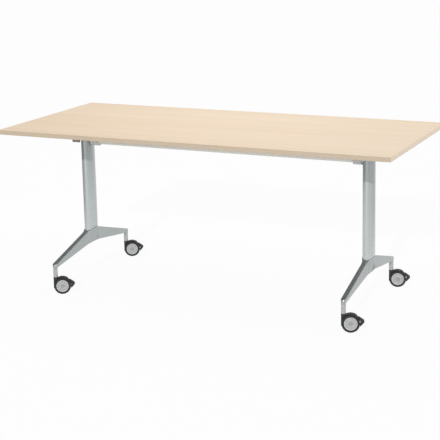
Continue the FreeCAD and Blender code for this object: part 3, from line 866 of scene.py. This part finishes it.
@dataclass
class TiltLever:
    """Moulded clamp lever outside the left column."""

    body: str = "lever"
    hub_radius: float = 13.0 * MM
    hub_length: float = 20.0 * MM
    hub_softness: float = 0.9 * MM
    dish_depth: float = 1.2 * MM
    dish_share: float = 0.6
    dish_rim_share: float = 0.75
    bush_wall: float = 3.0 * MM
    bush_radius: float = 7.1 * MM
    arm_thickness: float = 10.0 * MM
    arm_softness: float = 2.2 * MM
    arm_hub_share: float = 0.94
    arm_grip_share: float = 0.92
    arm_steps: int = 16
    grip_radius: float = 8.0 * MM
    grip_inset: float = 3.4 * MM
    grip_softness: float = 0.6 * MM
    grip_end_share: float = 0.6
    grip_cap_share: float = 0.14
    grip_steps: int = 40
    ring_depth: float = 0.35 * MM
    ring_count: int = 5
    ring_spread_share: float = 0.6

    def build(self) -> None:
        """Model hub, arm and grip and put them in the lever's place."""
        low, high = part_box("tilt_lever")
        sideways = Matrix.Rotation(math.radians(-90), 4, "Z")
        hub_y, hub_z = high.y - self.hub_radius, high.z - self.hub_radius
        hub = Modeller.lathe("lever_hub", self._hub_profile(high.x - self.hub_length, high.x))
        Modeller.move(hub, Matrix.Translation((0, hub_y, hub_z)) @ sideways)
        grip_y, grip_z = low.y + self.grip_radius, low.z + self.grip_radius
        grip = Modeller.lathe("lever_grip", self._grip_profile(low.x, high.x - self.grip_inset))
        Modeller.move(grip, Matrix.Translation((0, grip_y, grip_z)) @ sideways)
        arm = self._arm(high.x - self.hub_length / 2, (hub_y, hub_z), (grip_y, grip_z))
        for piece, width in ((hub, self.hub_softness), (grip, self.grip_softness), (arm, self.arm_softness)):
            Modeller.soften(piece, width)
        lever = Modeller.join([arm, hub, grip], "moulded_tilt_lever")
        settle(lever, LEVER_PLASTIC, self.body, "tilt_lever")

    def _hub_profile(self, start: float, end: float) -> List[Point]:
        """Hub outline with a shallow dish outside and the bush's socket inside.

        Args:
            start: Outer end along X.
            end: Inner end along X.

        Returns:
            Distances from the axis and along it.
        """
        dish = start + self.dish_depth
        return [(0.0, dish), (self.hub_radius * self.dish_share, dish),
                (self.hub_radius * self.dish_rim_share, start), (self.hub_radius, start), (self.hub_radius, end),
                (self.bush_radius, end), (self.bush_radius, start + self.bush_wall),
                (0.0, start + self.bush_wall)]

    def _grip_profile(self, start: float, end: float) -> List[Point]:
        """Grip outline: bar with rounded ends and finger rings.

        Args:
            start: Outer end along X.
            end: Inner end along X.

        Returns:
            Distances from the axis and along it.
        """
        points = [(0.0, start)]
        for i in range(self.grip_steps + 1):
            share = i / self.grip_steps
            off_middle = abs(2 * share - 1)
            ring = 0.0
            if off_middle <= self.ring_spread_share:
                ring = self.ring_depth * (1 - math.cos(math.tau * self.ring_count * share))
            into_cap = max(0.0, (off_middle - 1 + self.grip_cap_share) / self.grip_cap_share)
            cap = math.sqrt(max(0.0, 1 - into_cap ** 2))
            radius = self.grip_radius * (self.grip_end_share + (1 - self.grip_end_share) * cap) - ring
            points.append((radius, start + (end - start) * share))
        return points + [(0.0, end)]

    def _arm(self, middle_x: float, hub: Point, grip: Point) -> bpy.types.Object:
        """Tapered arm between the hub and the grip.

        Args:
            middle_x: Middle of the arm along X.
            hub: Y and Z of the hub's axis.
            grip: Y and Z of the grip's axis.

        Returns:
            The arm, with sharp edges.
        """
        run = Vector((grip[0] - hub[0], grip[1] - hub[1]))
        slope = math.atan2(run.y, run.x)
        lean = math.asin((self.hub_radius - self.grip_radius) / run.length)
        hub_end = self.hub_radius * self.arm_hub_share
        grip_end = self.grip_radius * self.arm_grip_share
        points: List[Vector] = []
        for centre, radius, start, sweep in (
                (hub, hub_end, slope + math.pi / 2 - lean, math.pi + 2 * lean),
                (grip, grip_end, slope - math.pi / 2 + lean, math.pi - 2 * lean)):
            for i in range(self.arm_steps + 1):
                angle = start + sweep * i / self.arm_steps
                points.append(Vector((middle_x - self.arm_thickness / 2, centre[0] + radius * math.cos(angle),
                                      centre[1] + radius * math.sin(angle))))
        arm = Modeller.outline("lever_arm", points)
        Modeller.extrude(arm, Vector((self.arm_thickness, 0, 0)))
        return arm


@dataclass(frozen=True)
class WheelCentre:
    """Wheel centre on the far side of a castor, drawn round the axle along Y."""

    radius: float = 27.45 * MM
    inner: float = 6.8 * MM
    face: float = 18.2 * MM
    rim_width: float = 3.0 * MM
    rim_slope: float = 1.0 * MM
    dish_depth: float = 1.6 * MM
    cup_radius: float = 10.5 * MM
    cup_depth: float = 3.0 * MM
    bore_radius: float = 4.06 * MM
    bore_end: float = 13.5 * MM
    ring_drop: float = 0.7 * MM
    ring_start: float = 0.6 * MM
    ring_end: float = 2.4 * MM
    ring_foot: float = 3.2 * MM
    boss_radius: float = 2.0 * MM
    boss_foot: float = 2.6 * MM
    boss_height: float = 0.6 * MM
    ribs: int = 5
    rib_start: float = 2.6 * MM
    rib_end: float = 3.6 * MM
    rib_root_half: float = 1.5 * MM
    rib_tip_half: float = 1.0 * MM
    rib_sink: float = 0.6 * MM
    rib_height: float = 1.3 * MM
    softness: float = 0.35 * MM
    softness_steps: int = 2
    sharp_limit: float = 30.0
    facets: int = 96
    shade_depth: float = 1.0 * MM
    shade_edge: float = 3.2 * MM
    dish_shade: float = 0.7

    def build(self) -> bpy.types.Object:
        """Model the dished face with its raised ring, round cup and radial ribs.

        Returns:
            The wheel centre.
        """
        dish = self.face - self.dish_depth
        hub = Modeller.lathe("wheel_centre", self._profile(dish), self.facets)
        Modeller.soften(hub, self.softness, self.softness_steps, self.sharp_limit)
        start, end = self.cup_radius + self.rib_start, self.radius - self.rib_end
        parts = [hub]
        for i in range(self.ribs):
            corners = [Vector((r, dish - self.rib_sink, z)) for r, z in (
                (start, -self.rib_root_half), (end, -self.rib_tip_half),
                (end, self.rib_tip_half), (start, self.rib_root_half))]
            rib = Modeller.outline("wheel_rib", corners)
            Modeller.extrude(rib, Vector((0, self.rib_height, 0)))
            Modeller.soften(rib, self.softness, self.softness_steps)
            Modeller.move(rib, Matrix.Rotation(math.tau * i / self.ribs, 4, "Y"))
            parts.append(rib)
        hub = Modeller.join(parts, "wheel_centre")
        self._mark_recess(hub, dish)
        return hub

    def _profile(self, dish: float) -> List[Point]:
        """Section of the wheel centre, from its bore round the rim to the boss in the cup.

        Args:
            dish: Distance of the dished face from the middle of the castor.

        Returns:
            Distances from the axle and along it.
        """
        cup = self.face - self.cup_depth
        ring = self.face - self.ring_drop
        rim = self.radius - self.rim_width
        return [(0.0, self.bore_end), (self.bore_radius, self.bore_end), (self.bore_radius, self.inner),
                (self.radius, self.inner), (self.radius, self.face), (rim, self.face),
                (rim - self.rim_slope, dish), (self.cup_radius + self.ring_foot, dish),
                (self.cup_radius + self.ring_end, ring), (self.cup_radius + self.ring_start, ring),
                (self.cup_radius, cup), (self.boss_foot, cup), (self.boss_radius, cup + self.boss_height),
                (0.0, cup + self.boss_height)]

    def _mark_recess(self, hub: bpy.types.Object, dish: float) -> None:
        """Mark the sunk parts of the face, which the finish darkens as painted shade.

        Args:
            hub: Wheel centre.
            dish: Distance of the dished face from the middle of the castor.
        """
        marks = hub.data.attributes.new(RECESS, "FLOAT", "POINT")
        for vertex, mark in zip(hub.data.vertices, marks.data):
            radius = math.hypot(vertex.co.x, vertex.co.z)
            sunk = max(0.0, min(1.0, (dish + self.shade_depth - vertex.co.y) / self.shade_depth))
            shade = 1.0 if radius < self.cup_radius else self.dish_shade
            mark.value = sunk * shade if radius < self.radius - self.shade_edge else 0.0


@dataclass(frozen=True)
class BrakePedal:
    """Brake pedal behind the treads, drawn round the axle along Y; angles are above the horizontal."""

    inner: float = 39.3 * MM
    edge: float = 2.2 * MM
    low_angle: float = -17.0
    high_angle: float = 37.0
    arc_steps: int = 14
    tip_back: float = 55.5 * MM
    tip_rise: float = 7.0 * MM
    tip_thickness: float = 3.0 * MM
    width: float = 26.0 * MM
    softness: float = 1.3 * MM
    sharp_limit: float = 35.0
    pivot_back: float = 24.0 * MM
    pivot_drop: float = 5.0 * MM
    tongue_width: float = 5.6 * MM
    tongue_half: float = 2.5 * MM
    tongue_sink: float = 0.6 * MM
    eye_radius: float = 6.5 * MM
    pin_radius: float = 2.5 * MM
    pin_length: float = 12.4 * MM
    eye_facets: int = 32
    pin_facets: int = 24
    rib_shares: Tuple[float, ...] = (0.42, 0.54, 0.66, 0.78, 0.9)
    rib_foot_half: float = 0.8 * MM
    rib_top_half: float = 0.5 * MM
    rib_sink: float = 0.5 * MM
    rib_rise: float = 0.55 * MM
    rib_inset: float = 2.4 * MM
    rib_softness: float = 0.25 * MM
    rib_softness_steps: int = 2

    def build(self) -> bpy.types.Object:
        """Model the softened wedge with its grip ribs, tongue and cross pin.

        Returns:
            The pedal.
        """
        outer = self.inner + self.edge
        sweep = self.high_angle - self.low_angle
        front = [self._rim(self.inner, self.low_angle + sweep * i / self.arc_steps)
                 for i in range(self.arc_steps + 1)]
        tip_half = self.tip_thickness / 2
        back = [self._rim(outer, self.high_angle),
                Vector((self.tip_back, -self.width / 2, self.tip_rise + tip_half)),
                Vector((self.tip_back, -self.width / 2, self.tip_rise - tip_half)),
                self._rim(outer, self.low_angle)]
        wedge = Modeller.outline("pedal_wedge", front + back)
        Modeller.extrude(wedge, Vector((0, self.width, 0)))
        Modeller.soften(wedge, self.softness, limit=self.sharp_limit)
        return Modeller.join([wedge] + self._ribs(back[0], back[1]) + self._pivot(outer), "brake_pedal")

    def _rim(self, radius: float, angle: float) -> Vector:
        """Point of the near side round the axle at an angle above the horizontal."""
        turn = math.radians(angle)
        return Vector((radius * math.cos(turn), -self.width / 2, radius * math.sin(turn)))

    def _ribs(self, start: Vector, end: Vector) -> List[bpy.types.Object]:
        """Grip ribs across the pedal's upper face.

        Args:
            start: Upper edge of that face.
            end: Its outer edge.

        Returns:
            The ribs.
        """
        along = (end - start).normalized()
        up = Vector((-along.z, 0, along.x))
        section = ((-self.rib_foot_half, -self.rib_sink), (self.rib_foot_half, -self.rib_sink),
                   (self.rib_top_half, self.rib_rise), (-self.rib_top_half, self.rib_rise))
        inset = Vector((0, self.rib_inset, 0))
        ribs = []
        for share in self.rib_shares:
            centre = start.lerp(end, share) + inset
            rib = Modeller.outline("pedal_rib", [centre + along * a + up * b for a, b in section])
            Modeller.extrude(rib, Vector((0, self.width, 0)) - inset * 2)
            Modeller.soften(rib, self.rib_softness, self.rib_softness_steps)
            ribs.append(rib)
        return ribs

    def _pivot(self, outer: float) -> List[bpy.types.Object]:
        """Tongue between the wheels with its eye and cross pin.

        Args:
            outer: Distance of the wedge's back edge from the axle.

        Returns:
            Tongue, eye and pin.
        """
        half, pin_half = self.tongue_width / 2, self.pin_length / 2
        low, high = -self.pivot_drop - self.tongue_half, -self.pivot_drop + self.tongue_half
        end = outer - self.tongue_sink
        tongue = Modeller.outline("pedal_tongue", [Vector((x, -half, z)) for x, z in (
            (self.pivot_back, low), (end, low), (end, high), (self.pivot_back, high))])
        Modeller.extrude(tongue, Vector((0, self.tongue_width, 0)))
        eye = Modeller.lathe("pedal_eye", [(0.0, -half), (self.eye_radius, -half), (self.eye_radius, half),
                                           (0.0, half)], self.eye_facets)
        pin = Modeller.lathe("pedal_pin", [(0.0, -pin_half), (self.pin_radius, -pin_half),
                                           (self.pin_radius, pin_half), (0.0, pin_half)], self.pin_facets)
        for piece in (eye, pin):
            Modeller.move(piece, Matrix.Translation((self.pivot_back, 0, -self.pivot_drop)))
            Modeller.smooth(piece)
        return [tongue, eye, pin]


@dataclass
class Castors:
    """Wheel centres and pedals of the four castors, placed by the joints of the wheels."""

    corners: Tuple[str, ...] = ("front_left", "back_left", "front_right", "back_right")
    wheel: WheelCentre = WheelCentre()
    pedal: BrakePedal = BrakePedal()
    spin: float = 17.0
    spin_per_turn: float = 3.0

    def build(self) -> None:
        """Model one wheel centre and one pedal and copy them to the four castors."""
        hub = self.wheel.build()
        pedal = self.pedal.build()
        for corner in self.corners:
            axle = JOINTS[f"{corner}_near_spin"]
            turn = math.atan2(-axle["axis"][0], axle["axis"][1])
            place = Matrix.Translation(axle["pos_m"]) @ Matrix.Rotation(turn, 4, "Z")
            for word, side in (("near", -1), ("far", 1)):
                spun = Matrix.Rotation(math.radians(self.spin * side) + turn * self.spin_per_turn, 4, "Y")
                mirrored = Matrix.Diagonal((1, side, 1, 1))
                centre = Modeller.copy(hub, f"{corner}_{word}_wheel_centre", place @ mirrored @ spun)
                settle(centre, HUB_PLASTIC, f"{corner}_{word}_wheel", f"{corner}_castor_{word}_hub")
            brake = Modeller.copy(pedal, f"{corner}_brake_pedal", place)
            settle(brake, PEDAL_PLASTIC, f"{corner}_pedal", f"{corner}_castor_pedal")
        for piece in (hub, pedal):
            bpy.data.objects.remove(piece, do_unlink=True)


def heading(turn: float, rise: float) -> Vector:
    """Direction seen from the table.

    Args:
        turn: Degrees from straight ahead to the right.
        rise: Degrees above the floor.

    Returns:
        The direction, of length 1.
    """
    across, up = math.radians(turn), math.radians(rise)
    return Vector((math.sin(across) * math.cos(up), -math.cos(across) * math.cos(up), math.sin(up)))


@dataclass(frozen=True)
class PhotoCamera:
    """Camera at the photograph's viewing angle, in degrees, millimetres and pixels."""

    azimuth: float = 25.1184
    elevation: float = 11.805
    distance: float = 5447.874
    focal: float = 1229.786
    target: Tuple[float, float, float] = (-6.44, 0.0, 598.54)
    roll: float = -1.1658
    shift: float = -60.0
    frame_size: float = 440.0
    sensor: float = 36.0

    def build(self) -> None:
        """Make the camera and set it as the scene's."""
        turn = math.radians(self.azimuth)
        back = heading(self.azimuth, self.elevation)
        right = Vector((math.cos(turn), math.sin(turn), 0))
        up = back.cross(right)
        lean = math.radians(self.roll)
        across = right * math.cos(lean) + up * math.sin(lean)
        upward = up * math.cos(lean) - right * math.sin(lean)
        data = bpy.data.cameras.new("photo_camera")
        data.sensor_width = self.sensor
        data.lens = self.focal / self.frame_size * self.sensor
        data.shift_y = self.shift / self.frame_size
        camera = bpy.data.objects.new("photo_camera", data)
        bpy.context.collection.objects.link(camera)
        place = Vector(self.target) * MM + back * self.distance * MM
        camera.matrix_world = Matrix.Translation(place) @ Matrix((across, upward, back)).transposed().to_4x4()
        bpy.context.scene.camera = camera


@dataclass(frozen=True)
class Lamp:
    """Distant soft light: turn from straight ahead to the right, rise above the floor, both in degrees."""

    name: str
    turn: float
    rise: float
    strength: float
    spread: float

    def build(self) -> None:
        """Hang the lamp."""
        data = bpy.data.lights.new(self.name, "SUN")
        data.energy = self.strength
        data.angle = math.radians(self.spread)
        lamp = bpy.data.objects.new(self.name, data)
        bpy.context.collection.objects.link(lamp)
        lamp.rotation_mode = "QUATERNION"
        lamp.rotation_quaternion = heading(self.turn, self.rise).to_track_quat("Z", "Y")
        log.info("%s hung", self.name)


@dataclass(frozen=True)
class Studio:
    """Pale floor, white surroundings and soft light, with a shaded room for glossy surfaces to mirror."""

    lamps: Tuple[Lamp, ...] = (
        Lamp("front_key", turn=10.0, rise=25.0, strength=1.8, spread=0.8),
        Lamp("right_fill", turn=95.0, rise=9.0, strength=1.2, spread=40.0))
    overhead: Tuple[float, float, float] = (-0.25, 0.35, 2.4)
    overhead_size: float = 1.6
    overhead_power: float = 8.0
    floor_size: float = 60.0
    floor_white: float = 0.86
    floor_glow: float = 0.94
    room_start: float = 1.3
    room_end: float = 2.2
    ambient: float = 0.55
    mirror_left: float = 0.12
    mirror_right: float = 0.42
    mirror_ceiling: float = 0.36
    left_lean: float = -0.09
    left_span: Tuple[float, float] = (0.3, 0.62)
    right_lean: float = 0.1
    right_span: Tuple[float, float] = (0.42, 0.85)
    ceiling_span: Tuple[float, float] = (0.35, 0.75)

    def build(self) -> None:
        """Make the floor, the world and the lamps."""
        self._floor()
        self._world()
        self._overhead()
        for lamp in self.lamps:
            lamp.build()
        bpy.context.scene.view_settings.view_transform = "Standard"

    def _overhead(self) -> None:
        """Hang a square soft box over the back of the table, so that the light fades towards the front."""
        data = bpy.data.lights.new("overhead", "AREA")
        data.energy = self.overhead_power
        data.size = self.overhead_size
        lamp = bpy.data.objects.new("overhead", data)
        lamp.location = self.overhead
        bpy.context.collection.objects.link(lamp)

    def _floor(self) -> None:
        """Lay the floor, nearly white to the camera with a soft shadow left on it."""
        bpy.ops.object.select_all(action="DESELECT")
        bpy.ops.mesh.primitive_plane_add(size=self.floor_size, location=(0, 0, 0))
        floor = bpy.context.object
        floor.name = "studio_floor"
        shader = Shader(bpy.data.materials.new("studio_floor_paint"))
        spot = shader.node("ShaderNodeNewGeometry", {}, {}, "Position")
        reach = shader.node("ShaderNodeVectorMath", {"operation": "LENGTH"}, {0: spot}, "Value")
        aim = shader.node("ShaderNodeVectorMath", {"operation": "NORMALIZE"}, {0: spot})
        glossy = shader.on(Ray.GLOSSY)
        seen = shader.on(Ray.CAMERA)
        far = shader.between(reach, self.room_start, self.room_end) * glossy
        glow = shader.node("ShaderNodeEmission", {}, {
            "Color": shader.blend(far, (1.0, 1.0, 1.0), self._room(shader, aim)), "Strength": 1.0})
        paint = shader.node("ShaderNodeBsdfDiffuse", {}, {"Color": (self.floor_white,) * 3 + (1.0,)})
        mixed = shader.node("ShaderNodeMixShader", {}, {0: (seen + glossy) * self.floor_glow, 1: paint, 2: glow})
        floor.data.materials.append(shader.close(mixed))

    def _world(self) -> None:
        """White world to the eye, soft light to matt surfaces and a shaded room to glossy ones."""
        world = bpy.data.worlds.new("studio_world")
        world.cycles.sampling_method = "NONE"
        bpy.context.scene.world = world
        shader = Shader(world)
        white = (1.0, 1.0, 1.0, 1.0)
        plain = shader.node("ShaderNodeBackground", {}, {"Color": white, "Strength": self.ambient})
        sky = shader.node("ShaderNodeBackground", {}, {"Color": white, "Strength": 1.0})
        aim = shader.node("ShaderNodeTexCoord", {}, {}, "Generated")
        room = shader.node("ShaderNodeBackground", {}, {"Color": self._room(shader, aim), "Strength": 1.0})
        glossy = shader.on(Ray.GLOSSY)
        seen = shader.on(Ray.CAMERA)
        lit = shader.node("ShaderNodeMixShader", {}, {0: glossy, 1: plain, 2: room})
        shader.close(shader.node("ShaderNodeMixShader", {}, {0: seen, 1: lit, 2: sky}))

    def _room(self, shader: Shader, aim: Wire) -> Wire:
        """Grey of the room by direction: white in front and behind, darker to both sides and overhead.

        Args:
            shader: Builder of the material or world that shows the room.
            aim: Direction, of length 1.

        Returns:
            The wire of the colour.
        """
        across, along, rise = shader.axes(aim)
        left = shader.between(along * self.left_lean - across, *self.left_span)
        right = shader.between(across + along * self.right_lean, *self.right_span)
        ceiling = shader.between(rise, *self.ceiling_span)
        grey = 1.0 - left * (1.0 - self.mirror_left) - right * (1.0 - self.mirror_right)
        grey = grey * (1.0 - ceiling * (1.0 - self.mirror_ceiling))
        return shader.node("ShaderNodeCombineColor", {}, {0: grey, 1: grey, 2: grey})


def dress_nodes() -> None:
    """Give every CAD node its finish."""
    for name, piece in frame["nodes"].items():
        dress(piece, finish_of(name))
    log.info("%d nodes dressed", len(frame["nodes"]))


def main() -> None:
    """Build the table's dressed pieces, the studio and the camera in order."""
    logging.basicConfig(level=logging.INFO)
    dress_nodes()
    for assembly in (TopAssembly(), Frame(), TiltLever(), Castors()):
        assembly.build()
    Studio().build()
    PhotoCamera().build()


if __name__ == "__main__":
    main()
